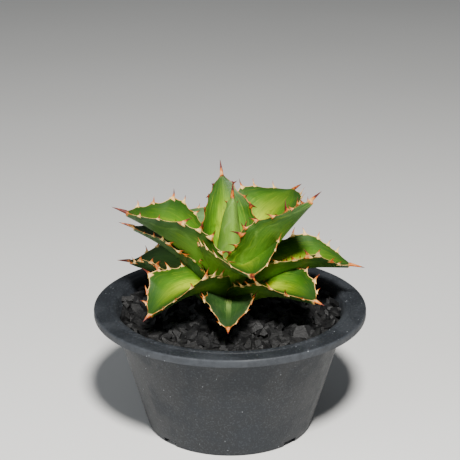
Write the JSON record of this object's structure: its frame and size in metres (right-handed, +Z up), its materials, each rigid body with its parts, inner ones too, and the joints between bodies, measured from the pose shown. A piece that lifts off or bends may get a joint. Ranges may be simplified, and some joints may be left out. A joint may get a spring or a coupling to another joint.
{
  "type": "potted agave",
  "caption": "Small agave rosette of thick guttered leaves with hooked teeth and end spines, in a round flanged plastic pan under dark stone dressing.",
  "frame": {"origin": "centre of the pot's foot, on the surface it stands on", "axes": "+Z up the pot's axis, -Y towards the front of the plant, +X to its right"},
  "size_m": [0.15, 0.15, 0.147],
  "materials": {
    "pot_plastic": "dark blue-grey moulded plastic, dusty, lightly scuffed",
    "screen_plastic": "black moulded plastic mesh",
    "pumice": "coarse pale pumice",
    "soil": "dark gritty potting soil",
    "dressing_stone": "angular charcoal stone chips",
    "stem_tissue": "pale woody stem and roots",
    "leaf_green": "smooth waxy green leaf with a cream to brown horny margin, teeth and spine",
    "leaf_older": "grey-green waxy older leaf with a horny margin, teeth and spine",
    "leaf_spear": "young leaf with a pale waxy bloom and a reddish spine"
  },
  "bodies": {
    "root": {"pot": "pot_plastic", "drainage_screen": "screen_plastic", "drainage_layer": "pumice", "potting_soil": "soil", "top_dressing": "dressing_stone", "stem": "stem_tissue", "leaf_inner": "leaf_green", "leaf_spear": "leaf_spear", "leaf_back_tall": "leaf_green", "leaf_right_tall": "leaf_green", "leaf_left_tall": "leaf_green", "leaf_back_right": "leaf_green", "leaf_front": "leaf_green", "leaf_back_left": "leaf_older", "leaf_right": "leaf_green", "leaf_front_left": "leaf_green", "leaf_back": "leaf_green", "leaf_front_right": "leaf_green", "leaf_left": "leaf_older", "leaf_back_right_low": "leaf_older", "leaf_front_low": "leaf_green", "leaf_back_low": "leaf_older", "leaf_left_low": "leaf_older"}
  },
  "joints": []
}
